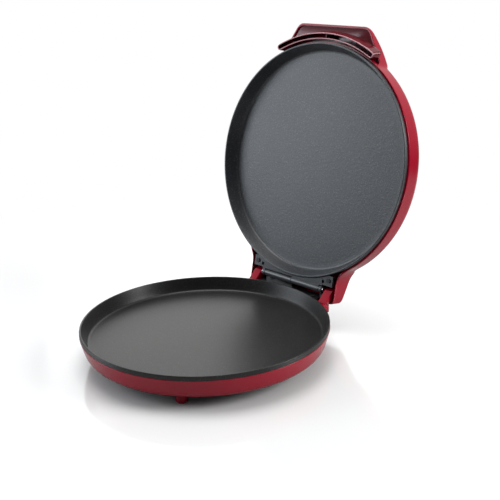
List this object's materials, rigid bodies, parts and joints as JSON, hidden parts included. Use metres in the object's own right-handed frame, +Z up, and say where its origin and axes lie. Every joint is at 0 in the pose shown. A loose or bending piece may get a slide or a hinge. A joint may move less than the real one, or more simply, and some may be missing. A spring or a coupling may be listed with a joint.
{
  "type": "electric pizza maker",
  "caption": "Round countertop cooker with a coated cast tray in the base and in the lid, hinged at the back, with a handle and finger guard on the lid.",
  "frame": {"origin": "on the table, under the middle of the whole appliance with its lid open", "axes": "+Z up from the table; -Y towards the front, where the lid's handle comes down; +Y towards the hinge; +X to the right seen from the front"},
  "size_m": [0.3228, 0.427, 0.3938],
  "materials": {
    "red_shell": "high gloss",
    "black_plastic": "fine grain",
    "nonstick": "dark non-stick coating with a fine speckle",
    "element_steel": "satin",
    "sheet_steel": "bright sheet",
    "rubber_pad": "matt",
    "ceramic_part": "matt",
    "lens_red": "clear red",
    "lens_green": "clear green",
    "lamp_glass": "clear",
    "lead_sleeve": "matt sleeve",
    "cover_paint": "matt black paint on sheet steel",
    "hinge_black": "satin",
    "hinge_grey": "satin",
    "pin_steel": "bright"
  },
  "bodies": {
    "base": {"base_shell": "red_shell", "base_cover": "cover_paint", "foot_pads": "rubber_pad", "cover_screws": "pin_steel", "base_tray": "nonstick", "base_element": "element_steel", "base_element_clips": "sheet_steel", "base_reflector": "sheet_steel", "base_reflector_screws": "pin_steel", "thermostat": "ceramic_part", "thermostat_screws": "pin_steel", "thermal_fuse": "ceramic_part", "fuse_clip": "sheet_steel", "terminal_block": "ceramic_part", "base_leads": "lead_sleeve", "cord_gland": "black_plastic", "base_hinge_bracket": "hinge_black", "base_bracket_screws": "pin_steel", "hinge_pin": "pin_steel", "hinge_washers": "black_plastic", "pin_clip": "pin_steel"},
    "lid": {"lid_shell": "red_shell", "handle_guard": "red_shell", "guard_screws": "pin_steel", "lid_tray": "nonstick", "lid_element": "element_steel", "lid_element_clips": "sheet_steel", "lid_reflector": "sheet_steel", "lid_reflector_screws": "pin_steel", "lid_hinge_bracket": "hinge_grey", "lid_bracket_screws": "pin_steel", "power_lens": "lens_red", "ready_lens": "lens_green", "pilot_lamps": "lamp_glass", "lid_leads": "lead_sleeve"}
  },
  "joints": [
    {"name": "lid_hinge", "type": "hinge", "parent": "base", "child": "lid", "pos_m": [0, 0.11388, 0.0528], "axis": [1, 0, 0], "range_deg": [0, 102.7]}
  ]
}
